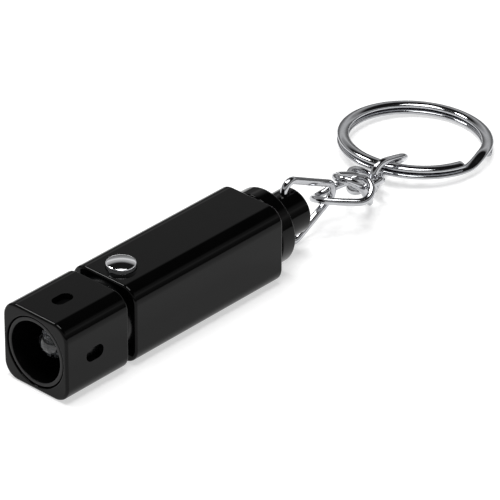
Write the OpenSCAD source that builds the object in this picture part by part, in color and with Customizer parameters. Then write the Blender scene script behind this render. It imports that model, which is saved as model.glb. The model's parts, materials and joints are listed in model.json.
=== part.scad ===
// Keychain torch: a square metal body with a round light barrel in front, a
// push button on top, four button cells inside, and a screwed tail cap that
// carries a wire loop, four curb links and a split ring.
// +X is the beam and +Z is the button side. The origin is the middle of the
// flat face of the body that the torch rests on.

/* [Body] */
// Width and height of the square section
section_w = 13; // [13:0.1:13.6]
// Radius of the four long edges
long_edge_r = 2.7; // [2:0.1:3]
// Bevel around each end face of the square sleeves
end_bevel = 0.45; // [0.2:0.05:0.6]
// Length of the battery body
body_l = 32.1; // [32.1:0.1:36]
// Radius of the bore through the battery body
body_bore_r = 5.4; // [5.35:0.01:5.45]

/* [Head] */
// Length of the square head sleeve
head_l = 13; // [12.5:0.1:14]
// Gap between head and body, where the round collar shows
head_gap = 1.4; // [1.2:0.1:2]
// Radius of the bore through the head
head_bore_r = 5.76; // [5.75:0.01:5.8]
// Length of the slot in each side of the head
slot_l = 3.55; // [3:0.05:4]
// Width of the slot in each side of the head
slot_w = 2.2; // [1.8:0.1:2.5]
// Distance from the front face to the middle of the slots
slot_from_front = 5.85; // [4:0.05:7]

/* [Light barrel] */
// Outside radius of the barrel
barrel_r = 5.55; // [5.4:0.05:5.6]
// Inside radius of the barrel in front of the light
barrel_bore_r = 4.95; // [4.85:0.05:5]
// Outside radius of the collar in the gap
collar_r = 5.95; // [5.85:0.05:6.2]
// How far the barrel's rim lies behind the head's front face
rim_recess = 0.15; // [0:0.05:1]

/* [Light] */
// Radius of the lens of the light
led_r = 2.5; // [2.4:0.05:2.5]
// Distance from the front face to the middle of the lens dome
led_dome_from_front = 4.3; // [4:0.1:4.6]

/* [Button] */
// Radius of the button
button_r = 2.3; // [2:0.05:2.3]
// Height of the button's rim above the body
button_rim_h = 0.76; // [0.6:0.02:1]
// Height of the button's dome above its rim
button_dome_h = 0.36; // [0.2:0.02:0.5]
// Distance from the front of the body to the middle of the button
button_from_front = 3.75; // [3.7:0.05:3.8]

/* [Battery] */
// Radius of a button cell
cell_r = 3.95; // [3.9:0.01:3.95]
// Height of a button cell
cell_h = 3.6; // [3.5:0.01:3.6]

/* [Tail cap] */
// Radius of the flange
flange_r = 6.25; // [6:0.05:6.4]
// Width of the groove between body and flange
tail_groove = 0.3; // [0.2:0.05:0.4]
// Length of the flange
flange_l = 2.9; // [2.7:0.1:3.2]
// Radius of the knob
knob_r = 3.75; // [3.5:0.05:4]
// Length of the knob
knob_l = 6.4; // [6:0.1:7]
// Pitch of the tail cap's thread
thread_pitch = 0.75; // [0.7:0.05:0.8]

/* [Wire loop] */
// Radius of the wire of the triangular loop
loop_wire_r = 0.625; // [0.55:0.025:0.64]
// Running clearance of the wire in the knob's cross hole
loop_clearance = 0.075; // [0.05:0.005:0.1]

/* [Chain] */
// Outside length of a curb link
link_l = 10.4; // [10.3:0.05:10.5]
// Outside width of a curb link
link_w = 6.3; // [6.25:0.05:6.4]
// Radius of the wire of a curb link
link_wire_r = 0.6; // [0.55:0.01:0.62]
// Twist from one end of a curb link to the other, in degrees
link_twist = 55; // [54:0.5:56]

/* [Split ring] */
// Outside radius of the split ring
ring_r = 12.5; // [12.4:0.05:12.5]
// Width of the flattened wire of the split ring
ring_wire_w = 1.9; // [1.7:0.1:2]
// Height of one coil of the split ring
ring_coil_h = 1.0; // [0.9:0.05:1]
// Space between the two coils
ring_coil_gap = 0.1; // [0.06:0.01:0.15]

/* [Hidden] */
$fn = 64;

// How far a cutting shape runs past the face that it cuts
past = 0.5;

// Heights
axis_z = section_w / 2;
body_top = section_w;

// Stations along the beam
spigot_l = 6.55;
seat_l = 1.5;
shoulder_l = 1;
body_front = body_l / 2;
body_back = -body_l / 2;
head_back = body_front + head_gap;
head_front = head_back + head_l;
barrel_rim = head_front - rim_recess;
barrel_back = body_front - spigot_l;
barrel_seat_front = head_back + seat_l;
shoulder_front = head_back + 0.15;
shoulder_back = shoulder_front - shoulder_l;
slot_x = head_front - slot_from_front;
button_x = body_front - button_from_front;

// Light barrel
barrel_seat_r = head_bore_r - 0.04;
spigot_r = body_bore_r - 0.02;
spigot_bore_r = 4.6;
shoulder_bore_r = 4;
button_notch_w = 6.4;
button_notch_l = button_x + 3 - barrel_back;

// Light
led_dome_x = head_front - led_dome_from_front;
led_barrel_l = 6.1;
led_base_x = led_dome_x - led_barrel_l;
led_flange_r = 2.9;
led_flange_l = 1;
led_leg_w = 0.5;
led_leg_spacing = 2.54;
holder_front = led_base_x - 0.05;
holder_back = shoulder_front + 0.05;

// Switch and its board
board_top = axis_z - 0.1;
board_h = 0.8;
board_w = 8.8;
board_front = shoulder_back - 0.2;
board_back = barrel_back - 0.9;
case_w = 4.5;
case_h = 2;
case_top = board_top + case_h;
case_room_r = 1.8;
case_room_top = board_top + 1.1;
dome_base = board_top + 0.15;
dome_h = 0.55;
plunger_r = 0.95;
plunger_foot_r = 1.5;
plunger_foot_h = 0.3;
plunger_bottom = dome_base + dome_h + 0.02;
plunger_top = case_top + 0.9;
running = 0.05;
button_stem_r = 0.9;
button_stem_bottom = plunger_top + running;
button_flange_r = 2.7;
button_flange_h = 0.5;
button_flange_top = axis_z + 4.35;

// Battery
cell_gap = 0.02;
cells_front = 6.6;
cell_cap_r = 3.4;
cell_cap_h = 0.35;
tube_r = 5.3;
tube_bore_r = 4.05;
tube_front = 7;
tube_back = cells_front - 4 * (cell_h + cell_gap) - 0.3;
contact_r = 3.6;
contact_h = 0.35;
carrier_front = board_back - 0.1;
carrier_back = tube_front + 0.05;
tab_w = 2;
tab_h = 0.2;

// Tail cap
flange_front = body_back - tail_groove;
flange_back = flange_front - flange_l;
knob_back = flange_back - knob_l;
tail_spigot_r = body_bore_r - 0.05;
tail_spigot_front = flange_front + 4.4;
thread_depth = 0.4;
thread_front = tail_spigot_front - 0.4;
thread_turns = 3;
o_groove_back = flange_front + 0.45;
o_groove_l = 0.9;
o_groove_r = 4.7;
o_ring_wire_r = 0.33;
o_ring_r = body_bore_r - 0.02 - o_ring_wire_r;
spring_pocket_r = 3.3;
spring_pocket_back = flange_front - 1.1;
spring_wire_r = 0.25;
spring_coil_r = 2.6;
spring_turns = 5;

// Wire loop: the corners of its triangle in the XZ plane, and the bend in each
cross_hole_x = flange_back - 4.15;
loop_reach = 13.2;
loop_top = [cross_hole_x, 12.6];
loop_tip = [cross_hole_x - loop_reach, 6.2];
loop_bottom = [cross_hole_x, -0.75];
loop_top_bend = 1.5;
loop_tip_bend = 1.7;
loop_bottom_bend = 2.3;

// Links: the middle of each, and its turn about X, Y and Z
link_1_at = [-34.8, 1.8, 6.05];
link_1_turn = [2, -10, 136];
link_2_at = [-39.05, 0.85, 5.25];
link_2_turn = [24, 38, -170];
link_3_at = [-43.15, -0.7, 3.8];
link_3_turn = [-1, 15, -139];
link_4_at = [-48.75, -1.45, 2.95];
link_4_turn = [117, 7, -165];

// Split ring: it leans on the last link
ring_at = [-60.75, -5.6, 1.93];
ring_lean = 4;
ring_corner_r = 0.42;
ring_top_end = 80;
ring_step_from = 84;
ring_step_to = 110;
ring_bottom_end = 118;
ring_middle_r = ring_r - ring_wire_w / 2;
ring_rise = ring_coil_h + ring_coil_gap;

// ---------- shared shapes ----------

// A square with round corners, in the plane
module rounded_rectangle(w, h, r) {
    square([w - 2 * r, h], center = true);
    square([w, h - 2 * r], center = true);
    for (sx = [-1, 1], sy = [-1, 1])
        translate([sx * (w / 2 - r), sy * (h / 2 - r)]) circle(r = r);
}

// A rectangle with cut corners, in the plane
module cut_rectangle(w, h, c) {
    polygon([
        [-w / 2 + c, -h / 2], [w / 2 - c, -h / 2], [w / 2, -h / 2 + c], [w / 2, h / 2 - c],
        [w / 2 - c, h / 2], [-w / 2 + c, h / 2], [-w / 2, h / 2 - c], [-w / 2, -h / 2 + c]
    ]);
}

// A slot with round ends, in the plane
module slot_shape(l, w) {
    square([l - w, w], center = true);
    for (s = [-1, 1]) translate([s * (l - w) / 2, 0]) circle(d = w);
}

// Puts children that stand along +Z on the beam axis, along +X, from station x
module on_beam(x = 0) {
    translate([x, 0, axis_z]) rotate([0, 90, 0]) children();
}

module rod(from, to, r) {
    on_beam(from) cylinder(h = to - from, r = r);
}

// A turned shape about the beam axis, from points of [radius, station]
module turned(points) {
    on_beam() rotate_extrude() polygon(points);
}

// The square stock of both sleeves, with round long edges and bevelled ends
module square_stock(from, to) {
    l = to - from;
    middle = (from + to) / 2;
    corner_reach = (axis_z - long_edge_r) * sqrt(2) + long_edge_r;
    intersection() {
        on_beam(from) linear_extrude(l) rounded_rectangle(section_w, section_w, long_edge_r);
        translate([middle, section_w, axis_z]) rotate([90, 0, 0])
            linear_extrude(2 * section_w) cut_rectangle(l, section_w, end_bevel);
        translate([middle, 0, -past])
            linear_extrude(section_w + 2 * past) cut_rectangle(l, section_w, end_bevel);
        turned([
            [0, from], [corner_reach - end_bevel, from], [corner_reach, from + end_bevel],
            [corner_reach, to - end_bevel], [corner_reach - end_bevel, to], [0, to]
        ]);
    }
}

// A tube of one radius along a path of points; a closed path joins up with itself
function unit(v) = v / norm(v);
function path_way(path, i, closed) =
    let (n = len(path), last = n - 1)
    closed ? unit(path[(i + 1) % n] - path[(i + last) % n])
           : unit(path[min(i + 1, last)] - path[max(i - 1, 0)]);
function across(way, ref) = unit(ref - (ref * way) * way);
function tube_points(path, r, sides, refs, closed) = [
    for (i = [0:len(path) - 1])
        let (way = path_way(path, i, closed), u = across(way, refs[i]), v = cross(way, u))
        for (k = [0:sides - 1])
            path[i] + r * (cos(k * 360 / sides) * u + sin(k * 360 / sides) * v)
];
function tube_walls(rings, sides, closed) = [
    for (i = [0:rings - (closed ? 1 : 2)], k = [0:sides - 1])
        let (a = i * sides, b = (i + 1) % rings * sides, next = (k + 1) % sides)
        each [[a + k, b + k, a + next], [a + next, b + k, b + next]]
];
function tube_ends(rings, sides) = [
    [for (k = [0:sides - 1]) k],
    [for (k = [sides - 1:-1:0]) (rings - 1) * sides + k]
];
module swept_tube(path, r, sides, refs, closed) {
    rings = len(path);
    walls = tube_walls(rings, sides, closed);
    polyhedron(
        points = tube_points(path, r, sides, refs, closed),
        faces = closed ? walls : concat(walls, tube_ends(rings, sides))
    );
}

// ---------- head and light ----------

module head_sleeve() {
    color("#1c1c1e") difference() {
        square_stock(head_back, head_front);
        rod(head_back - past, head_front + past, head_bore_r);
        translate([slot_x, 0, -past])
            linear_extrude(section_w + 2 * past) slot_shape(slot_l, slot_w);
        translate([slot_x, section_w, axis_z]) rotate([90, 0, 0])
            linear_extrude(2 * section_w) slot_shape(slot_l, slot_w);
    }
}

module light_barrel() {
    color("#202022") difference() {
        turned([
            [barrel_bore_r, barrel_rim], [barrel_r, barrel_rim],
            [barrel_r, barrel_seat_front], [barrel_seat_r, barrel_seat_front],
            [barrel_seat_r, head_back], [collar_r, head_back],
            [collar_r, body_front], [spigot_r, body_front],
            [spigot_r, barrel_back], [spigot_bore_r, barrel_back],
            [spigot_bore_r, shoulder_back], [shoulder_bore_r, shoulder_back],
            [shoulder_bore_r, shoulder_front], [barrel_bore_r, shoulder_front]
        ]);
        translate([barrel_back - past, -button_notch_w / 2, case_top])
            cube([button_notch_l + past, button_notch_w, section_w - case_top]);
    }
}

module led_lens() {
    color("#e8eef2", 0.5) union() {
        on_beam(led_dome_x) sphere(r = led_r);
        rod(led_base_x, led_dome_x, led_r);
        rod(led_base_x, led_base_x + led_flange_l, led_flange_r);
    }
}

// The reflector cup and its chip, cast into the lens
module led_die_cup() {
    color("#c8c8c0") {
        on_beam(led_base_x + 3.2) difference() {
            cylinder(h = 1.2, r1 = 0.7, r2 = 1.1);
            translate([0, 0, 0.5]) cylinder(h = 0.8, r1 = 0.45, r2 = 0.85);
        }
    }
}

module led_legs() {
    color("#b9b9b4") for (s = [-1, 1])
        translate([board_front - 1.5, s * led_leg_spacing / 2 - led_leg_w / 2, board_top])
            cube([led_base_x - board_front + 1.5, led_leg_w, led_leg_w]);
}

module led_holder() {
    color("#1b1b1d") difference() {
        rod(holder_back, holder_front, barrel_bore_r - 0.02);
        for (s = [-1, 1])
            translate([
                holder_back - past, s * led_leg_spacing / 2 - led_leg_w / 2 - running,
                board_top - running
            ])
                cube([
                    holder_front - holder_back + 2 * past, led_leg_w + 2 * running,
                    led_leg_w + 2 * running
                ]);
    }
}

// ---------- body, button and switch ----------

module body_sleeve() {
    color("#1c1c1e") difference() {
        square_stock(body_back, body_front);
        rod(body_back - past, body_front + past, body_bore_r);
        translate([button_x, 0, axis_z]) cylinder(h = section_w, r = button_r + running);
    }
}

module button_cap() {
    dome_r = (button_r * button_r + button_dome_h * button_dome_h) / (2 * button_dome_h);
    rim_z = body_top + button_rim_h;
    flange_bottom = button_flange_top - button_flange_h;
    color("#d7d8da") translate([button_x, 0, 0]) union() {
        translate([0, 0, flange_bottom]) cylinder(h = button_flange_h, r = button_flange_r);
        translate([0, 0, flange_bottom]) cylinder(h = rim_z - flange_bottom, r = button_r);
        translate([0, 0, button_stem_bottom])
            cylinder(h = flange_bottom - button_stem_bottom + 0.2, r = button_stem_r);
        intersection() {
            translate([0, 0, rim_z + button_dome_h - dome_r]) sphere(r = dome_r);
            translate([0, 0, rim_z - 0.2]) cylinder(h = 1, r = button_r);
        }
    }
}

module switch_plunger() {
    color("#2b2b2e") translate([button_x, 0, 0]) union() {
        translate([0, 0, plunger_bottom]) cylinder(h = plunger_top - plunger_bottom, r = plunger_r);
        translate([0, 0, plunger_bottom]) cylinder(h = plunger_foot_h, r = plunger_foot_r);
    }
}

module switch_case() {
    color("#3a3a3d") difference() {
        translate([button_x - case_w / 2, -case_w / 2, board_top]) cube([case_w, case_w, case_h]);
        translate([button_x, 0, dome_base])
            cylinder(h = case_room_top - dome_base, r = case_room_r);
        translate([button_x, 0, dome_base]) cylinder(h = case_h, r = plunger_r + running);
    }
}

// The thin steel dome that clicks under the plunger
module snap_dome() {
    color("#c9cacc") translate([button_x, 0, dome_base]) rotate_extrude() polygon([
        [0, dome_h], [0.6, dome_h - 0.04], [1.2, dome_h * 0.6], [1.6, 0],
        [1.45, 0], [1.1, dome_h * 0.4], [0.55, dome_h - 0.16], [0, dome_h - 0.12]
    ]);
}

module switch_board() {
    color("#2f6b3c") translate([board_back, -board_w / 2, board_top - board_h])
        cube([board_front - board_back, board_w, board_h]);
}

// ---------- battery ----------

module contact_carrier() {
    color("#d8d6cf") difference() {
        rod(carrier_back, carrier_front, tube_r);
        translate([carrier_back - past, -tab_w / 2 - running, board_top - running])
            cube([
                carrier_front - carrier_back + 2 * past, tab_w + 2 * running,
                tab_h + 2 * running
            ]);
    }
}

module front_contact() {
    color("#c9a24a") union() {
        rod(cells_front + cell_gap, cells_front + cell_gap + contact_h, contact_r);
        translate([cells_front + contact_h / 2, -tab_w / 2, board_top])
            cube([board_back + 1 - cells_front - contact_h / 2, tab_w, tab_h]);
    }
}

module battery_tube() {
    color("#e3e1da") difference() {
        rod(tube_back, tube_front, tube_r);
        rod(tube_back - past, tube_front + past, tube_bore_r);
    }
}

// Cell number i counts from the front; its narrow cap faces the light
module cell(i) {
    front = cells_front - (i - 1) * (cell_h + cell_gap);
    can_front = front - cell_cap_h;
    color("#cfcfcb") turned([
        [0, front], [cell_cap_r, front], [cell_cap_r, can_front],
        [cell_r, can_front - 0.15], [cell_r, front - cell_h], [0, front - cell_h]
    ]);
}

module battery_spring() {
    steps = 14 * spring_turns;
    front = cells_front - 4 * (cell_h + cell_gap) - spring_wire_r - 0.01;
    back = spring_pocket_back + spring_wire_r + 0.01;
    path = [
        for (i = [0:steps])
            let (a = 360 * spring_turns * i / steps)
            [
                back + (front - back) * i / steps, spring_coil_r * cos(a),
                axis_z + spring_coil_r * sin(a)
            ]
    ];
    outwards = [for (p = path) [0, p[1], p[2] - axis_z]];
    color("#cfcfcb") swept_tube(path, spring_wire_r, 6, outwards, false);
}

// ---------- tail cap ----------

module tail_o_ring() {
    color("#151515") on_beam(o_groove_back + o_groove_l / 2)
        rotate_extrude() translate([o_ring_r, 0]) circle(r = o_ring_wire_r, $fn = 24);
}

module tail_cap() {
    color("#1c1c1e") difference() {
        turned([
            [0, tail_spigot_front], [tail_spigot_r - 0.4, tail_spigot_front],
            [tail_spigot_r, thread_front],
            for (i = [0:thread_turns - 1])
                let (crest = thread_front - 0.2 - i * thread_pitch)
                each [
                    [tail_spigot_r, crest], [tail_spigot_r - thread_depth, crest - 0.25],
                    [tail_spigot_r, crest - 0.5]
                ],
            [tail_spigot_r, o_groove_back + o_groove_l],
            [o_groove_r, o_groove_back + o_groove_l],
            [o_groove_r, o_groove_back], [tail_spigot_r, o_groove_back],
            [tail_spigot_r, flange_front], [flange_r - 0.25, flange_front],
            [flange_r, flange_front - 0.25], [flange_r, flange_back + 0.3],
            [flange_r - 0.3, flange_back], [knob_r, flange_back],
            [knob_r, knob_back + 0.4], [knob_r - 0.4, knob_back], [0, knob_back]
        ]);
        rod(spring_pocket_back, tail_spigot_front + past, spring_pocket_r);
        translate([cross_hole_x, 0, axis_z - knob_r - past])
            cylinder(h = 2 * (knob_r + past), r = loop_wire_r + loop_clearance);
    }
}

// ---------- wire loop ----------

// Half the angle between the two straights that meet at corner b
function half_corner(a, b, c) = acos(unit(a - b) * unit(c - b)) / 2;
// Where the bend of radius r at corner b leaves the straight towards a
function bend_start(a, b, c, r) = b + unit(a - b) * r / tan(half_corner(a, b, c));
function bend_middle(a, b, c, r) = b + unit(unit(a - b) + unit(c - b)) * r / sin(half_corner(a, b, c));

// The middle line of the bend of radius r at corner b
function bend_line(a, b, c, r, steps) =
    let (
        middle = bend_middle(a, b, c, r), start = bend_start(a, b, c, r) - middle,
        sweep = 180 - 2 * half_corner(a, b, c)
    )
    [for (i = [0:steps]) middle + turned_by(start, sweep * i / steps)];
function turned_by(v, a) = [v[0] * cos(a) - v[1] * sin(a), v[0] * sin(a) + v[1] * cos(a)];

// The straight leg turns in the knob's cross hole, and the rest is one bent wire
module wire_loop() {
    leg_bottom = bend_start(loop_top, loop_bottom, loop_tip, loop_bottom_bend);
    leg_top = bend_start(loop_bottom, loop_top, loop_tip, loop_top_bend);
    tuck = [0, 0.2];
    bent = concat(
        [leg_top - tuck],
        bend_line(loop_bottom, loop_top, loop_tip, loop_top_bend, 10),
        bend_line(loop_top, loop_tip, loop_bottom, loop_tip_bend, 12),
        bend_line(loop_tip, loop_bottom, loop_top, loop_bottom_bend, 10),
        [leg_bottom + tuck]
    );
    path = [for (p = bent) [p[0], 0, p[1]]];
    sideways = [for (p = path) [0, 1, 0]];
    color("#d2d3d5") union() {
        translate([cross_hole_x, 0, leg_bottom[1]])
            cylinder(h = leg_top[1] - leg_bottom[1], r = loop_wire_r);
        swept_tube(path, loop_wire_r - 0.02, 14, sideways, false);
    }
}

// ---------- chain ----------

// The middle line of a link before it is twisted: two half circles and two straights
function link_outline(end_r, straight, per_end) = concat(
    [for (i = [0:per_end]) [straight + end_r * sin(180 * i / per_end), -end_r * cos(180 * i / per_end)]],
    [for (f = [1 / 3, 2 / 3]) [straight - 2 * straight * f, end_r]],
    [for (i = [0:per_end]) [-straight - end_r * sin(180 * i / per_end), end_r * cos(180 * i / per_end)]],
    [for (f = [1 / 3, 2 / 3]) [-straight + 2 * straight * f, -end_r]]
);

module curb_link(at, turn) {
    end_r = link_w / 2 - link_wire_r;
    straight = (link_l - link_w) / 2;
    path = [
        for (p = link_outline(end_r, straight, 16))
            let (a = link_twist * p[0] / (2 * (straight + end_r)))
            [p[0], p[1] * cos(a), p[1] * sin(a)]
    ];
    up = [for (p = path) [0, 0, 1]];
    color("#d2d3d5") translate(at) rotate(turn) swept_tube(path, link_wire_r, 12, up, true);
}

// ---------- split ring ----------

module ring_coil_section() {
    translate([ring_middle_r, 0]) rounded_rectangle(ring_wire_w, ring_coil_h, ring_corner_r);
}

module split_ring() {
    step_angle = ring_step_to - ring_step_from;
    step_run = ring_middle_r * step_angle * PI / 180;
    step_slope = atan(ring_rise / step_run);
    overlap = 1.5;
    color("#d2d3d5") translate(ring_at) rotate([0, -ring_lean, 0]) union() {
        translate([0, 0, ring_rise / 2]) rotate([0, 0, ring_step_to])
            rotate_extrude(angle = 360 - ring_step_to + ring_top_end) ring_coil_section();
        translate([0, 0, -ring_rise / 2]) rotate([0, 0, ring_bottom_end])
            rotate_extrude(angle = 360 - ring_bottom_end + ring_step_from) ring_coil_section();
        rotate([0, 0, (ring_step_from + ring_step_to) / 2]) rotate([step_slope, 0, 0])
            rotate([0, 0, -step_angle / 2 - overlap])
                rotate_extrude(angle = step_angle + 2 * overlap)
                    translate([ring_middle_r, 0])
                        rounded_rectangle(ring_wire_w - 0.1, ring_coil_h - 0.1, ring_corner_r);
    }
}

head_sleeve();
light_barrel();
led_lens();
led_die_cup();
led_legs();
led_holder();
body_sleeve();
button_cap();
switch_plunger();
switch_case();
snap_dome();
switch_board();
contact_carrier();
front_contact();
battery_tube();
cell(1);  // cell_1
cell(2);  // cell_2
cell(3);  // cell_3
cell(4);  // cell_4
battery_spring();
tail_o_ring();
tail_cap();
wire_loop();
curb_link(link_1_at, link_1_turn);  // chain_link_1
curb_link(link_2_at, link_2_turn);  // chain_link_2
curb_link(link_3_at, link_3_turn);  // chain_link_3
curb_link(link_4_at, link_4_turn);  // chain_link_4
split_ring();
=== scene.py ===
import json
import math

import bpy
from mathutils import Matrix, Vector


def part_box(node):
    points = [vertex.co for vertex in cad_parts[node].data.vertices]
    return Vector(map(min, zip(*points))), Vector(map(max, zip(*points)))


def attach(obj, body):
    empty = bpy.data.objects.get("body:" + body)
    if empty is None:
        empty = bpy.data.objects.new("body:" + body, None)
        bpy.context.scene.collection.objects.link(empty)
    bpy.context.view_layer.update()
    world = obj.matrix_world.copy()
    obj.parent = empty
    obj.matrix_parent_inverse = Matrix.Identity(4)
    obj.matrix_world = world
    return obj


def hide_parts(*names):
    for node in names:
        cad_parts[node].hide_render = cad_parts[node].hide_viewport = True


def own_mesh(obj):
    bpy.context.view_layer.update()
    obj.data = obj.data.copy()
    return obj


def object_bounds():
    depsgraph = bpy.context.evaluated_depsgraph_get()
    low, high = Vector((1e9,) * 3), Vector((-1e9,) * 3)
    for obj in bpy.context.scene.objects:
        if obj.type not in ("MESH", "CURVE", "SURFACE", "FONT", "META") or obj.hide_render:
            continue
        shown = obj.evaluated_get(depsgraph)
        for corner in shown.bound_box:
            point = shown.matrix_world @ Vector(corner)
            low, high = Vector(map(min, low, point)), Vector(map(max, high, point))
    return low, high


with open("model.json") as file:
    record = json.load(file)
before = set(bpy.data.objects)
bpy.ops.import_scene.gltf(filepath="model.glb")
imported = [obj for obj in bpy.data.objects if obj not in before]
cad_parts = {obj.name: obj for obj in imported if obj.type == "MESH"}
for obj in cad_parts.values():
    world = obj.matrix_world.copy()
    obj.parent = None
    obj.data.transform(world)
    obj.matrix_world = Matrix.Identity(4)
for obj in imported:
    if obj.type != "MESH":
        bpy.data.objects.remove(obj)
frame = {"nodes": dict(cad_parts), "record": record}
CAD_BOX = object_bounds()

MM = 0.001

# ---------- measures, in millimetres, as the parts are made ----------

# Square black sleeves
LONG_EDGE_R = 2.7
END_ROUND = 0.45
HEAD_BORE_R = 5.76
BODY_BORE_R = 5.4
BORE_LIP = 0.14
SLOT_L, SLOT_W, SLOT_FROM_FRONT = 3.55, 2.2, 5.85
SLOT_LIP = 0.03
BUTTON_HOLE_R = 2.35
BUTTON_HOLE_LIP = 0.12

# Light barrel: radii, and stations from its rim
BARREL_R, BARREL_BORE_R, BARREL_SEAT_R, SPIGOT_R = 5.55, 4.95, 5.72, 5.38
SHOULDER_BORE_R, SPIGOT_BORE_R = 4.0, 4.6
BARREL_SEAT_L, SHOULDER_PAST_HEAD, SHOULDER_L = 1.5, 0.15, 1
BARREL_EDGE_ROUND = 0.08
# The notch in the barrel that clears the button: its width, bottom, reach and corners
BUTTON_NOTCH_W, BUTTON_NOTCH_BOTTOM = 6.4, 8.4
NOTCH_PAST_BUTTON, NOTCH_H, NOTCH_CORNER = 3, 6, 0.5

# Clear light
LED_R, LED_FLANGE_R, LED_FLANGE_L, LED_LENGTH_TO_DOME = 2.5, 2.9, 1.0, 6.1
LED_EDGE_ROUND = 0.06

# Button: radii and heights
BUTTON_R, BUTTON_FLANGE_R, BUTTON_STEM_R = 2.3, 2.7, 0.9
BUTTON_DOME_H, BUTTON_FLANGE_H, BUTTON_EDGE_ROUND = 0.36, 0.5, 0.14
# Height of the button's flange above the torch's axis
BUTTON_FLANGE_TOP = 4.35
# Snap dome: its thickness at the top
DOME_THICKNESS = 0.12

# Tail cap: radii, and lengths from its flange
FLANGE_R, FLANGE_L, KNOB_R = 6.25, 2.9, 3.75
FLANGE_FRONT_ROUND, FLANGE_BACK_ROUND, KNOB_ROUND = 0.25, 0.3, 0.5
TAIL_SPIGOT_L, TAIL_SPIGOT_CHAMFER, THREAD_RUN_IN, THREAD_GROOVE_W = 4.4, 0.4, 0.6, 0.5
TAIL_SPIGOT_R, THREAD_DEPTH, THREAD_PITCH, THREAD_TURNS = 5.35, 0.4, 0.75, 3
SEAL_GROOVE_R, SEAL_GROOVE_FROM, SEAL_GROOVE_L = 4.7, 0.45, 0.9
SPRING_POCKET_R, SPRING_POCKET_DEPTH = 3.3, 1.1
CROSS_HOLE_FROM_FLANGE, CROSS_HOLE_R = 4.15, 0.7

# Wire loop: the corners of its triangle as (x, z), and the bend at each
LOOP_WIRE_R = 0.625
LOOP_CORNERS = [((-23.4, 12.6), 1.5), ((-36.6, 6.2), 1.7), ((-23.4, -0.75), 2.3)]

# Curb links: the middle of each, and its turn about X, Y and Z in degrees
LINK_L, LINK_W, LINK_WIRE_R, LINK_TWIST = 10.4, 6.3, 0.6, 55
LINK_FACET = 0.12
LINKS = {
    "chain_link_1": ((-34.8, 1.8, 6.05), (2, -10, 136)),
    "chain_link_2": ((-39.05, 0.85, 5.25), (24, 38, -170)),
    "chain_link_3": ((-43.15, -0.7, 3.8), (-1, 15, -139)),
    "chain_link_4": ((-48.75, -1.45, 2.95), (117, 7, -165)),
}

# Split ring: wire section, and where its ends and its step lie, in degrees
RING_AT, RING_LEAN = (-60.75, -5.6, 1.93), 4
RING_R, RING_WIRE_W, RING_COIL_H, RING_COIL_GAP = 12.5, 1.9, 1.0, 0.1
RING_TOP_END, RING_STEP_FROM, RING_STEP_TO, RING_BOTTOM_END = 80, 84, 110, 118

# Camera
CAMERA_AZIMUTH, CAMERA_ELEVATION, CAMERA_ROLL = 132.424, 31.003, 0.222
CAMERA_DISTANCE, CAMERA_LENS, CAMERA_SENSOR = 677.1, 325.5, 36
CAMERA_AIM = (-9.40, 5.81, 8.67)


# ---------- modelling helpers ----------

def object_mode():
    if bpy.context.mode != "OBJECT":
        bpy.ops.object.mode_set(mode="OBJECT")


def only(piece):
    """Leaves just this piece selected and active."""
    object_mode()
    bpy.ops.object.select_all(action="DESELECT")
    piece.select_set(True)
    bpy.context.view_layer.objects.active = piece


def clear():
    object_mode()
    bpy.ops.object.select_all(action="DESELECT")


def made(name):
    """Names the primitive that was just added."""
    piece = bpy.context.object
    piece.name = piece.data.name = name
    return piece


def settle(piece):
    """Moves a piece's place into its mesh."""
    only(piece)
    bpy.ops.object.transform_apply(location=True, rotation=True, scale=True)


def pick(piece, kind, test):
    """Enters edit mode with the vertices, edges or faces that pass the test selected."""
    only(piece)
    mesh = piece.data
    for group in (mesh.vertices, mesh.edges, mesh.polygons):
        group.foreach_set("select", [False] * len(group))
    bpy.context.tool_settings.mesh_select_mode = [kind == k for k in ("VERT", "EDGE", "FACE")]
    if kind == "VERT":
        for vertex in mesh.vertices:
            vertex.select = test(vertex.co)
    if kind == "EDGE":
        for edge in mesh.edges:
            edge.select = test(*[mesh.vertices[i].co for i in edge.vertices])
    if kind == "FACE":
        for face in mesh.polygons:
            face.select = test(face)
    bpy.ops.object.mode_set(mode="EDIT")


def edit_all(piece):
    only(piece)
    bpy.ops.object.mode_set(mode="EDIT")
    bpy.ops.mesh.select_all(action="SELECT")


def tidy_mesh(piece, merge=0.0005):
    """Closes seams and turns the faces outwards."""
    edit_all(piece)
    bpy.ops.mesh.remove_doubles(threshold=merge * MM)
    bpy.ops.mesh.normals_make_consistent(inside=False)
    object_mode()


def modifier(piece, kind, **settings):
    """Adds a modifier and applies it."""
    only(piece)
    bpy.ops.object.modifier_add(type=kind)
    added = piece.modifiers[-1]
    for key, value in settings.items():
        setattr(added, key, value)
    bpy.ops.object.modifier_apply(modifier=added.name)


def cut(piece, cutter):
    """Takes the cutter's shape out of the piece."""
    modifier(piece, "BOOLEAN", object=cutter, operation="DIFFERENCE", solver="EXACT")
    bpy.data.objects.remove(cutter)


def round_edges(piece, width, segments=3, above=30):
    """Rounds every edge that is sharper than the angle."""
    modifier(
        piece, "BEVEL", width=width * MM, segments=segments, limit_method="ANGLE",
        angle_limit=math.radians(above), use_clamp_overlap=True, harden_normals=False
    )


def smooth(piece, angle=32):
    """Smooth shading that keeps flat faces flat."""
    only(piece)
    bpy.ops.object.shade_smooth_by_angle(angle=math.radians(angle))
    modifier(piece, "WEIGHTED_NORMAL", keep_sharp=True, weight=80)


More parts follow.
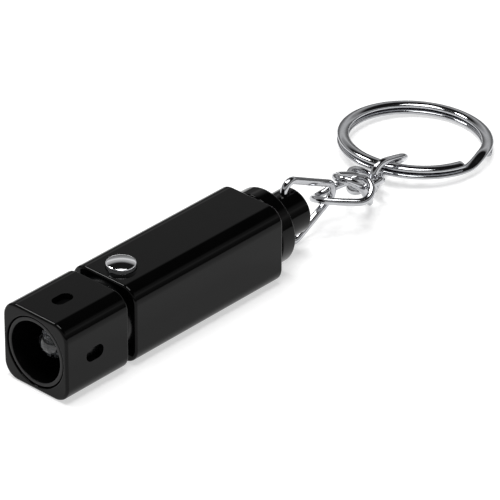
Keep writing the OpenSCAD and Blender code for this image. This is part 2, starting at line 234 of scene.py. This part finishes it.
def turned(name, outline, at=(0, 0, 0), along="X", sides=96, ring=False):
    """A lathe piece. outline is a list of (station, radius), and a ring's outline joins up with itself."""
    clear()
    station, radius = outline[0]
    bpy.ops.mesh.primitive_circle_add(
        vertices=sides, radius=radius * MM, fill_type="NOTHING" if ring else "NGON",
        location=(0, 0, station * MM)
    )
    piece = made(name)
    settle(piece)
    edit_all(piece)
    bpy.context.tool_settings.mesh_select_mode = (False, True, False)
    for next_station, next_radius in outline[1:] + (outline[:1] if ring else []):
        bpy.ops.mesh.extrude_edges_move(
            TRANSFORM_OT_translate={"value": (0, 0, (next_station - station) * MM)}
        )
        factor = next_radius / radius
        bpy.ops.transform.resize(value=(factor, factor, 1), center_override=(0, 0, 0))
        station, radius = next_station, next_radius
    if not ring and radius > 0.001:
        bpy.ops.mesh.edge_face_add()
    object_mode()
    if along == "X":
        piece.rotation_euler = (0, math.radians(90), 0)
    piece.location = [v * MM for v in at]
    settle(piece)
    tidy_mesh(piece)
    return piece


def lip(radius, steps=4):
    """A quarter round as (how far outside the hole, how deep) pairs, from the surface to the wall."""
    turns = [math.pi / 2 * i / steps for i in range(steps + 1)]
    return [(radius * (1 - math.sin(t)), radius * (1 - math.cos(t))) for t in turns]


def bore_cutter(radius, start, end, rounding):
    """A round cutter from start to end along X whose both mouths are rounded."""
    near = [(start + deep, radius + out) for out, deep in lip(rounding)]
    far = [(end - deep, radius + out) for out, deep in lip(rounding)]
    outline = [(start - 1, radius + rounding)] + near + far[::-1] + [(end + 1, radius + rounding)]
    return turned("bore_cutter", outline, at=(0, 0, AXIS_Z))


def slot_cutter(length, width, rounding, depth):
    """A slot cutter that goes down from the surface at height 0; its length is along X."""
    clear()
    sides = 40
    bpy.ops.mesh.primitive_circle_add(
        vertices=sides, radius=(width / 2 + rounding) * MM, fill_type="NGON",
        rotation=(0, 0, math.pi / sides), location=(0, 0, 1 * MM)
    )
    cutter = made("slot_cutter")
    settle(cutter)
    if length > width:
        for side in (-1, 1):
            pick(cutter, "VERT", lambda v: v.x * side > 0)
            bpy.ops.transform.translate(value=(side * (length - width) / 2 * MM, 0, 0))
    pick(cutter, "FACE", lambda f: True)
    above = 0.002
    bpy.ops.mesh.extrude_region_move(TRANSFORM_OT_translate={"value": (0, 0, (above - 1) * MM)})
    steps = lip(rounding)
    for (out_a, deep_a), (out_b, deep_b) in zip(steps, steps[1:]):
        bpy.ops.mesh.inset(thickness=(out_a - out_b) * MM, use_even_offset=True)
        bpy.ops.transform.translate(value=(0, 0, (deep_a - deep_b) * MM))
    bpy.ops.mesh.extrude_region_move(TRANSFORM_OT_translate={"value": (0, 0, -depth * MM)})
    tidy_mesh(cutter)
    return cutter


def put(piece, at, turn=(0, 0, 0)):
    """Turns a piece about X, Y and Z and moves it, and settles it there."""
    piece.rotation_euler = [math.radians(a) for a in turn]
    piece.location = [v * MM for v in at]
    settle(piece)


# ---------- places that the frame gives, in millimetres ----------

def box_mm(node):
    low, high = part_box(node)
    return [v / MM for v in low], [v / MM for v in high]


HEAD_LOW, HEAD_HIGH = box_mm("head_sleeve")
BODY_LOW, BODY_HIGH = box_mm("body_sleeve")
BARREL_LOW, BARREL_HIGH = box_mm("light_barrel")
LED_LOW = box_mm("led_lens")[0]
BUTTON_LOW, BUTTON_HIGH = box_mm("button_cap")
TAIL_LOW, TAIL_HIGH = box_mm("tail_cap")
AXIS_Z = (BODY_LOW[2] + BODY_HIGH[2]) / 2
BUTTON_X = (BUTTON_LOW[0] + BUTTON_HIGH[0]) / 2


# ---------- camera ----------

def make_camera():
    clear()
    bpy.ops.object.camera_add()
    camera = made("camera")
    camera.data.lens = CAMERA_LENS
    camera.data.sensor_width = CAMERA_SENSOR
    a, e, r = [math.radians(v) for v in (CAMERA_AZIMUTH, CAMERA_ELEVATION, CAMERA_ROLL)]
    back = Vector((math.sin(a) * math.cos(e), -math.cos(a) * math.cos(e), math.sin(e)))
    level = Vector((math.cos(a), math.sin(a), 0))
    upright = back.cross(level)
    right = level * math.cos(r) + upright * math.sin(r)
    up = upright * math.cos(r) - level * math.sin(r)
    camera.matrix_world = Matrix((right, up, back)).transposed().to_4x4()
    camera.location = (Vector(CAMERA_AIM) + back * CAMERA_DISTANCE) * MM
    camera.data.clip_start, camera.data.clip_end = 0.01, 20
    bpy.context.scene.camera = camera


# ---------- square sleeves ----------

def square_stock(name, low, high):
    """Square stock with round long edges and rounded ends."""
    clear()
    bpy.ops.mesh.primitive_cube_add(
        size=1, location=[(a + b) / 2 * MM for a, b in zip(low, high)],
        scale=[(b - a) * MM for a, b in zip(low, high)]
    )
    piece = made(name)
    settle(piece)
    tiny = 0.01 * MM
    pick(piece, "EDGE", lambda a, b: abs(a.x - b.x) > tiny)
    bpy.ops.mesh.bevel(offset=LONG_EDGE_R * MM, segments=14, profile=0.5)
    ends = (low[0] * MM, high[0] * MM)
    pick(piece, "EDGE", lambda a, b: any(abs(a.x - x) < tiny and abs(b.x - x) < tiny for x in ends))
    bpy.ops.mesh.bevel(offset=END_ROUND * MM, segments=5, profile=0.5)
    object_mode()
    return piece


def make_head_sleeve():
    piece = square_stock("head_shell", HEAD_LOW, HEAD_HIGH)
    cut(piece, bore_cutter(HEAD_BORE_R, HEAD_LOW[0], HEAD_HIGH[0], BORE_LIP))
    slot_x = HEAD_HIGH[0] - SLOT_FROM_FRONT
    half = (HEAD_HIGH[2] - HEAD_LOW[2]) / 2
    for quarter in range(4):
        cutter = slot_cutter(SLOT_L, SLOT_W, SLOT_LIP, 3)
        angle = math.radians(90 * quarter)
        middle = (slot_x, -half * math.sin(angle), AXIS_Z + half * math.cos(angle))
        put(cutter, middle, (90 * quarter, 0, 0))
        cut(piece, cutter)
    smooth(piece)
    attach(piece, "torch")
    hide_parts("head_sleeve")
    return piece


def make_body_sleeve():
    piece = square_stock("battery_body", BODY_LOW, BODY_HIGH)
    cut(piece, bore_cutter(BODY_BORE_R, BODY_LOW[0], BODY_HIGH[0], BORE_LIP))
    cutter = slot_cutter(2 * BUTTON_HOLE_R, 2 * BUTTON_HOLE_R, BUTTON_HOLE_LIP, 4)
    put(cutter, (BUTTON_X, 0, BODY_HIGH[2]))
    cut(piece, cutter)
    smooth(piece)
    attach(piece, "torch")
    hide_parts("body_sleeve")
    return piece


# ---------- light ----------

def make_light_barrel():
    rim, back = BARREL_HIGH[0], BARREL_LOW[0]
    collar_r = (BARREL_HIGH[1] - BARREL_LOW[1]) / 2
    seat_front = HEAD_LOW[0] + BARREL_SEAT_L
    shoulder_front = HEAD_LOW[0] + SHOULDER_PAST_HEAD
    shoulder_back = shoulder_front - SHOULDER_L
    outline = [
        (rim, BARREL_BORE_R), (rim, BARREL_R), (seat_front, BARREL_R), (seat_front, BARREL_SEAT_R),
        (HEAD_LOW[0], BARREL_SEAT_R), (HEAD_LOW[0], collar_r), (BODY_HIGH[0], collar_r),
        (BODY_HIGH[0], SPIGOT_R), (back, SPIGOT_R), (back, SPIGOT_BORE_R),
        (shoulder_back, SPIGOT_BORE_R), (shoulder_back, SHOULDER_BORE_R),
        (shoulder_front, SHOULDER_BORE_R), (shoulder_front, BARREL_BORE_R)
    ]
    piece = turned("barrel_tube", outline, at=(0, 0, AXIS_Z), ring=True, sides=128)
    round_edges(piece, BARREL_EDGE_ROUND)
    clear()
    notch_l = BUTTON_X + NOTCH_PAST_BUTTON - back
    past = 1
    bpy.ops.mesh.primitive_cube_add(
        size=1,
        location=((back + (notch_l - past) / 2) * MM, 0, (BUTTON_NOTCH_BOTTOM + NOTCH_H / 2) * MM),
        scale=((notch_l + past) * MM, BUTTON_NOTCH_W * MM, NOTCH_H * MM)
    )
    notch = made("notch_cutter")
    settle(notch)
    pick(notch, "EDGE", lambda a, b: abs(a.z - b.z) > 0.01 * MM)
    bpy.ops.mesh.bevel(offset=NOTCH_CORNER * MM, segments=4)
    object_mode()
    cut(piece, notch)
    smooth(piece)
    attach(piece, "torch")
    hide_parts("light_barrel")
    return piece


def make_light():
    base = LED_LOW[0]
    dome_x = base + LED_LENGTH_TO_DOME
    dome = [
        (dome_x + LED_R * math.sin(math.radians(a)), LED_R * math.cos(math.radians(a)))
        for a in range(6, 90, 6)
    ]
    outline = [
        (base, LED_FLANGE_R), (base + LED_FLANGE_L, LED_FLANGE_R),
        (base + LED_FLANGE_L, LED_R), (dome_x, LED_R)
    ] + dome + [(dome_x + LED_R, 0)]
    piece = turned("clear_light", outline, at=(0, 0, AXIS_Z), sides=72)
    round_edges(piece, LED_EDGE_ROUND)
    smooth(piece)
    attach(piece, "torch")
    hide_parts("led_lens")
    return piece


# ---------- button ----------

def make_button():
    stem_bottom, top = BUTTON_LOW[2], BUTTON_HIGH[2]
    flange_top = AXIS_Z + BUTTON_FLANGE_TOP
    rim = top - BUTTON_DOME_H
    sphere_r = (BUTTON_R ** 2 + BUTTON_DOME_H ** 2) / (2 * BUTTON_DOME_H)
    dome = []
    for share in (0.97, 0.9, 0.8, 0.7, 0.6, 0.5, 0.4, 0.3, 0.2, 0.1, 0.04):
        radius = (BUTTON_R - BUTTON_EDGE_ROUND * 0.3) * share
        dome.append((top - sphere_r + math.sqrt(sphere_r ** 2 - radius ** 2), radius))
    outline = [
        (stem_bottom, BUTTON_STEM_R), (flange_top - BUTTON_FLANGE_H, BUTTON_STEM_R),
        (flange_top - BUTTON_FLANGE_H, BUTTON_FLANGE_R), (flange_top, BUTTON_FLANGE_R),
        (flange_top, BUTTON_R), (rim - BUTTON_EDGE_ROUND, BUTTON_R),
        (rim - BUTTON_EDGE_ROUND * 0.4, BUTTON_R - BUTTON_EDGE_ROUND * 0.1),
        (rim, BUTTON_R - BUTTON_EDGE_ROUND * 0.4)
    ] + dome + [(top, 0)]
    piece = turned("button", outline, at=(BUTTON_X, 0, 0), along="Z", sides=96)
    smooth(piece, 40)
    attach(piece, "button")
    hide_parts("button_cap")
    return piece


# ---------- switch ----------

def make_snap_dome():
    """The thin steel dome under the plunger."""
    low, high = box_mm("snap_dome")
    height = high[2] - low[2]
    outline = [
        (height - DOME_THICKNESS, 0.3), (height - 0.16, 0.55), (height * 0.4, 1.1), (0, 1.45), (0, 1.6),
        (height * 0.6, 1.2), (height - 0.04, 0.6), (height, 0.1)
    ]
    piece = turned("steel_dome", outline, at=(BUTTON_X, 0, low[2]), along="Z", sides=64)
    smooth(piece, 40)
    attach(piece, "torch")
    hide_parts("snap_dome")
    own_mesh(piece)
    return piece


# ---------- tail cap ----------

def make_tail_cap():
    knob_back = TAIL_LOW[0]
    spigot_front = TAIL_HIGH[0]
    flange_front = spigot_front - TAIL_SPIGOT_L
    flange_back = flange_front - FLANGE_L
    thread = []
    for turn in range(THREAD_TURNS):
        crest = spigot_front - THREAD_RUN_IN - turn * THREAD_PITCH
        thread += [
            (crest, TAIL_SPIGOT_R), (crest - THREAD_GROOVE_W / 2, TAIL_SPIGOT_R - THREAD_DEPTH),
            (crest - THREAD_GROOVE_W, TAIL_SPIGOT_R)
        ]
    groove_front = flange_front + SEAL_GROOVE_FROM + SEAL_GROOVE_L
    groove_back = flange_front + SEAL_GROOVE_FROM
    pocket_back = flange_front - SPRING_POCKET_DEPTH
    outline = [
        (pocket_back, SPRING_POCKET_R), (spigot_front, SPRING_POCKET_R),
        (spigot_front, TAIL_SPIGOT_R - TAIL_SPIGOT_CHAMFER),
        (spigot_front - TAIL_SPIGOT_CHAMFER, TAIL_SPIGOT_R)
    ] + thread + [
        (groove_front, TAIL_SPIGOT_R), (groove_front, SEAL_GROOVE_R),
        (groove_back, SEAL_GROOVE_R), (groove_back, TAIL_SPIGOT_R),
        (flange_front, TAIL_SPIGOT_R), (flange_front, FLANGE_R), (flange_back, FLANGE_R),
        (flange_back, KNOB_R), (knob_back, KNOB_R)
    ]
    piece = turned("tail_knob", outline, at=(0, 0, AXIS_Z), sides=128)
    for radius, station, width in (
        (FLANGE_R, flange_front, FLANGE_FRONT_ROUND), (FLANGE_R, flange_back, FLANGE_BACK_ROUND),
        (KNOB_R, knob_back, KNOB_ROUND)
    ):
        pick(piece, "EDGE", lambda a, b: all(
            abs(v.x - station * MM) < 0.01 * MM
            and abs(math.hypot(v.y, v.z - AXIS_Z * MM) - radius * MM) < 0.02 * MM for v in (a, b)
        ))
        bpy.ops.mesh.bevel(offset=width * MM, segments=5, profile=0.5)
    hole = slot_cutter(2 * CROSS_HOLE_R, 2 * CROSS_HOLE_R, 0.02, 2 * KNOB_R + 1)
    put(hole, (flange_back - CROSS_HOLE_FROM_FLANGE, 0, AXIS_Z + KNOB_R))
    cut(piece, hole)
    smooth(piece)
    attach(piece, "tail")
    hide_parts("tail_cap")
    return piece


# ---------- wire loop, links and ring ----------

def run_on(way, steps=1):
    """Draws the open end of a wire on in a straight line."""
    for _ in range(steps):
        bpy.ops.mesh.extrude_edges_move(
            TRANSFORM_OT_translate={"value": [v / steps * MM for v in way]}
        )


def bend_on(centre, axis, degrees, steps):
    """Draws the open end of a wire on round a bend."""
    bpy.ops.mesh.spin(
        steps=steps, angle=-math.radians(degrees), center=[v * MM for v in centre], axis=axis
    )


def bend_at(before, corner, after, radius):
    """The start, middle, end and angle of the bend at a corner, in the plane."""
    into, out = (before - corner).normalized(), (after - corner).normalized()
    half = into.angle(out) / 2
    reach = radius / math.tan(half)
    middle = corner + (into + out).normalized() * radius / math.sin(half)
    return corner + into * reach, middle, corner + out * reach, 180 - 2 * math.degrees(half)


def make_wire_loop():
    corners = [Vector(place) for place, _ in LOOP_CORNERS]
    bends = [
        bend_at(corners[i - 1], corners[i], corners[(i + 1) % 3], LOOP_CORNERS[i][1])
        for i in range(3)
    ]
    clear()
    start = bends[2][2]
    bpy.ops.mesh.primitive_circle_add(
        vertices=24, radius=LOOP_WIRE_R * MM, location=(start.x * MM, 0, start.y * MM)
    )
    piece = made("bent_loop")
    settle(piece)
    edit_all(piece)
    bpy.context.tool_settings.mesh_select_mode = (False, True, False)
    here = start
    for bend_start, middle, bend_end, angle in bends:
        way = bend_start - here
        run_on((way.x, 0, way.y))
        bend_on((middle.x, 0, middle.y), (0, -1, 0), angle, 14)
        here = bend_end
    object_mode()
    tidy_mesh(piece, 0.01)
    smooth(piece, 50)
    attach(piece, "loop")
    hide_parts("wire_loop")
    return piece


def make_link(node, at, turn):
    """A curb link: a long ring of wire, twisted, with flats cut on its high spots."""
    bend_r = LINK_W / 2 - LINK_WIRE_R
    straight = (LINK_L - LINK_W) / 2
    clear()
    bpy.ops.mesh.primitive_circle_add(
        vertices=20, radius=LINK_WIRE_R * MM, location=(-straight * MM, -bend_r * MM, 0),
        rotation=(0, math.radians(90), 0)
    )
    piece = made("curb_" + node[6:])
    settle(piece)
    edit_all(piece)
    bpy.context.tool_settings.mesh_select_mode = (False, True, False)
    for side in (1, -1):
        run_on((2 * straight * side, 0, 0), 8)
        bend_on((straight * side, 0, 0), (0, 0, 1), 180, 20)
    object_mode()
    tidy_mesh(piece, 0.01)
    whole_twist = math.radians(LINK_TWIST) * LINK_L / (LINK_L - 2 * LINK_WIRE_R)
    modifier(piece, "SIMPLE_DEFORM", deform_method="TWIST", deform_axis="X", angle=whole_twist)
    modifier(piece, "SUBSURF", levels=1, render_levels=1)
    top = max(v.co.z for v in piece.data.vertices)
    for side in (1, -1):
        edit_all(piece)
        bpy.ops.mesh.bisect(
            plane_co=(0, 0, side * (top - LINK_FACET * MM)), plane_no=(0, 0, side),
            use_fill=True, clear_outer=True, threshold=1e-7
        )
    object_mode()
    put(piece, at, turn)
    smooth(piece, 25)
    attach(piece, node[6:])
    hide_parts(node)
    return piece


def make_split_ring():
    middle_r = RING_R - RING_WIRE_W / 2
    rise = RING_COIL_H + RING_COIL_GAP
    clear()
    bpy.ops.mesh.primitive_circle_add(
        vertices=32, radius=RING_COIL_H / 2 * MM, fill_type="NGON",
        location=(middle_r * MM, 0, -rise / 2 * MM), rotation=(math.radians(90), 0, 0)
    )
    piece = made("key_coil")
    settle(piece)
    edit_all(piece)
    bpy.ops.transform.resize(
        value=(RING_WIRE_W / RING_COIL_H, 1, 1), center_override=(middle_r * MM, 0, 0)
    )
    object_mode()
    piece.rotation_euler = (0, 0, math.radians(RING_BOTTOM_END))
    settle(piece)
    edit_all(piece)
    bottom_sweep = 360 - RING_BOTTOM_END + RING_STEP_FROM
    step_sweep = RING_STEP_TO - RING_STEP_FROM
    top_sweep = 360 - RING_STEP_TO + RING_TOP_END
    bend_on((0, 0, 0), (0, 0, 1), bottom_sweep, 108)
    steps = 14
    for i in range(steps):
        bend_on((0, 0, 0), (0, 0, 1), step_sweep / steps, 1)
        share = [(1 - math.cos(math.pi * k / steps)) / 2 for k in (i, i + 1)]
        bpy.ops.transform.translate(value=(0, 0, (share[1] - share[0]) * rise * MM))
    bend_on((0, 0, 0), (0, 0, 1), top_sweep, 110)
    object_mode()
    put(piece, RING_AT, (0, -RING_LEAN, 0))
    tidy_mesh(piece)
    round_edges(piece, 0.08, 2, 60)
    smooth(piece, 35)
    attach(piece, "ring")
    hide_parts("split_ring")
    return piece


# ---------- materials ----------

def linear(hex_colour):
    """An sRGB hex colour as linear RGBA."""
    parts = [int(hex_colour[i:i + 2], 16) / 255 for i in (1, 3, 5)]
    return [p / 12.92 if p <= 0.04045 else ((p + 0.055) / 1.055) ** 2.4 for p in parts] + [1]


def add(tree, kind, settings=None, links=None):
    """Adds a node with its settings, on its sockets or on itself, and its links."""
    node = tree.nodes.new(kind)
    for key, value in (settings or {}).items():
        if isinstance(key, int) or key in node.inputs:
            node.inputs[key].default_value = value
        else:
            setattr(node, key, value)
    for key, (source, output) in (links or {}).items():
        tree.links.new(source.outputs[output], node.inputs[key])
    return node


def finish_material(
    name, dark, light, rough, patch_mm, grain_mm=0.4, grain_height=0.002, stretch=(1, 1, 1), **shader
):
    """Patches between two colours and two roughnesses, over a fine grain that bumps the surface.

    patch_mm and grain_mm are the sizes of one patch and one grain; stretch makes the grain long.
    """
    material = bpy.data.materials.new(name)
    material.use_nodes = True
    tree = material.node_tree
    tree.nodes.clear()
    place = add(tree, "ShaderNodeTexCoord")
    patches = add(
        tree, "ShaderNodeTexNoise", {"Scale": 1 / (patch_mm * MM), "Detail": 4, "Roughness": 0.6},
        {"Vector": (place, "Object")}
    )
    colour = add(
        tree, "ShaderNodeMix", {"data_type": "RGBA", 6: linear(dark), 7: linear(light)},
        {0: (patches, 0)}
    )
    gloss = add(
        tree, "ShaderNodeMapRange", {"To Min": rough[0], "To Max": rough[1]}, {"Value": (patches, 0)}
    )
    along = add(
        tree, "ShaderNodeMapping", {"Scale": [1 / s for s in stretch]}, {"Vector": (place, "Object")}
    )
    grain = add(
        tree, "ShaderNodeTexNoise", {"Scale": 1 / (grain_mm * MM), "Detail": 2},
        {"Vector": (along, 0)}
    )
    bump = add(
        tree, "ShaderNodeBump", {"Strength": 0.5, "Distance": grain_height * MM},
        {"Height": (grain, 0)}
    )
    surface = add(
        tree, "ShaderNodeBsdfPrincipled", shader,
        {"Base Color": (colour, 2), "Roughness": (gloss, 0), "Normal": (bump, 0)}
    )
    add(tree, "ShaderNodeOutputMaterial", {}, {"Surface": (surface, 0)})
    return material


def finishes():
    return {
        # Stove enamel on turned brass: deep black, mirror-smooth, with a faint orange peel
        "black_lacquer": finish_material(
            "stove_enamel", "#020202", "#050505", (0.05, 0.1), 6, 1.2, 0.0012,
            **{"IOR": 1.5, "Specular IOR Level": 0.12}
        ),
        # Blackened brass: a deep satin black with fine turning marks
        "black_barrel": finish_material(
            "blackened_brass", "#040404", "#080809", (0.22, 0.3), 2, 0.15, 0.002, (1, 12, 12),
            **{"IOR": 1.5, "Specular IOR Level": 0.2}
        ),
        # Cast epoxy: clear with a smoky tint, and a slight waviness from its mould
        "clear_epoxy": finish_material(
            "cast_epoxy", "#9a9da1", "#b4b7bb", (0.12, 0.18), 3, 1.5, 0.0003,
            **{"IOR": 1.53, "Transmission Weight": 1.0}
        ),
        # Tinned copper: bright, with a dull bloom
        "led_metal": finish_material(
            "tinned_copper", "#a9a9a2", "#cfcfc9", (0.2, 0.4), 0.8, 0.2, 0.003, **{"Metallic": 1.0}
        ),
        # Moulded nylon: milky white and slightly waxy
        "white_plastic": finish_material(
            "moulded_nylon", "#d9d6cc", "#ece9e0", (0.4, 0.55), 3, 0.3, 0.006,
            **{"IOR": 1.53, "Subsurface Weight": 0.05, "Subsurface Scale": 0.001}
        ),
        # Moulded glass-filled nylon: black, with a dull skin
        "black_plastic": finish_material(
            "black_nylon", "#0c0c0d", "#18181a", (0.4, 0.6), 2, 0.2, 0.008, **{"IOR": 1.53}
        ),
        # Chrome on brass: a hard bright mirror with hairline polishing marks
        "chrome_plate": finish_material(
            "bright_chrome", "#dcdde0", "#ecedef", (0.04, 0.09), 3, 0.25, 0.0008, (6, 1, 1),
            **{"Metallic": 1.0}
        ),
        # Nickel-chrome on drawn wire: bright, with soft draw lines and handling marks
        "chrome_wire": finish_material(
            "nickel_wire", "#96979a", "#c6c7ca", (0.06, 0.16), 1.2, 0.2, 0.003, (3, 1, 1),
            **{"Metallic": 1.0}
        ),
        # Nickel plate on rolled spring wire: bright flats with fine rolling lines
        "chrome_ring": finish_material(
            "nickel_ring", "#98999c", "#c4c5c8", (0.06, 0.14), 2, 0.2, 0.002, (1, 1, 6),
            **{"Metallic": 1.0}
        ),
        # Cold-drawn spring steel: grey and streaked
        "spring_steel": finish_material(
            "drawn_spring_steel", "#8f9093", "#b9babd", (0.2, 0.35), 1, 0.15, 0.003, (4, 1, 1),
            **{"Metallic": 1.0}
        ),
        # Nickel-plated can: pale with a brushed look
        "cell_steel": finish_material(
            "nickel_can", "#b5b5b0", "#d2d2ce", (0.2, 0.32), 1.5, 0.12, 0.003, (1, 8, 1),
            **{"Metallic": 1.0}
        ),
        # Solder mask over glass epoxy: green, glossy, uneven over the weave
        "circuit_board": finish_material(
            "solder_mask", "#1f5a30", "#2f7a44", (0.2, 0.35), 0.7, 0.4, 0.01, **{"IOR": 1.5}
        ),
        # Stamped brass: warm, with a light tarnish
        "contact_brass": finish_material(
            "stamped_brass", "#a8843c", "#d2ae63", (0.2, 0.4), 1, 0.2, 0.003, **{"Metallic": 1.0}
        ),
        # Nitrile rubber: matt black with a fine skin
        "seal_rubber": finish_material(
            "nitrile_rubber", "#0b0b0b", "#171717", (0.6, 0.8), 1, 0.1, 0.006, **{"IOR": 1.52}
        ),
    }


def dress(piece, material):
    piece.data.materials.clear()
    piece.data.materials.append(material)


# ---------- studio ----------

def make_floor():
    clear()
    bpy.ops.mesh.primitive_plane_add(size=6, location=(0, 0, CAD_BOX[0][2]))
    floor = made("studio_floor")
    settle(floor)
    dress(floor, finish_material(
        "lit_acrylic", "#c9c9c9", "#cecece", (0.7, 0.8), 30, 1, 0.002,
        **{"Specular IOR Level": 0.1, "Emission Color": (1, 1, 1, 1), "Emission Strength": 0.55}
    ))


def softbox(name, direction, distance, size, radiance):
    """A square area light that faces the object from a direction."""
    clear()
    way = Vector(direction).normalized()
    bpy.ops.object.light_add(type="AREA")
    light = made(name)
    light.data.size = size
    light.data.energy = radiance * math.pi * size * size
    light.location = way * distance
    light.rotation_euler = way.to_track_quat("Z", "Y").to_euler()


def make_light_room():
    """Walls that are brightest at mid height and black overhead, and two softboxes."""
    world = bpy.data.worlds.new("studio")
    bpy.context.scene.world = world
    world.use_nodes = True
    tree = world.node_tree
    tree.nodes.clear()
    place = add(tree, "ShaderNodeTexCoord")
    parts = add(tree, "ShaderNodeSeparateXYZ", {}, {0: (place, "Generated")})
    ramp = add(tree, "ShaderNodeValToRGB", {}, {0: (parts, "Z")})
    stops = ramp.color_ramp.elements
    stops[0].position, stops[0].color = 0.0, (0.1, 0.1, 0.1, 1)
    stops[1].position, stops[1].color = 0.66, (0.01, 0.01, 0.01, 1)
    for height, grey in ((0.3, 0.3), (0.42, 0.85), (0.49, 0.46), (0.56, 0.42)):
        stops.new(height).color = (grey, grey, grey, 1)
    sky = add(tree, "ShaderNodeBackground", {"Strength": 1.0}, {"Color": (ramp, 0)})
    add(tree, "ShaderNodeOutputWorld", {}, {"Surface": (sky, 0)})
    softbox("overhead_softbox", (0.02, 0.0, 1.0), 0.9, 0.5, 9)
    softbox("left_softbox", (0.06, -0.6, 0.8), 0.8, 0.18, 20)


# ---------- the scene ----------

bpy.context.scene.view_settings.view_transform = "Standard"
make_camera()
finish = finishes()
slots = {part["node"]: part["material_slot"] for part in frame["record"]["subparts"]}
for node, cad_piece in frame["nodes"].items():
    dress(cad_piece, finish[slots[node]])

dress(make_head_sleeve(), finish["black_lacquer"])
dress(make_body_sleeve(), finish["black_lacquer"])
dress(make_light_barrel(), finish["black_barrel"])
dress(make_light(), finish["clear_epoxy"])
dress(make_button(), finish["chrome_plate"])
dress(make_snap_dome(), finish["spring_steel"])
dress(make_tail_cap(), finish["black_lacquer"])
dress(make_wire_loop(), finish["chrome_wire"])
for node, (at, turn) in LINKS.items():
    dress(make_link(node, at, turn), finish["chrome_wire"])
dress(make_split_ring(), finish["chrome_ring"])

make_floor()
make_light_room()
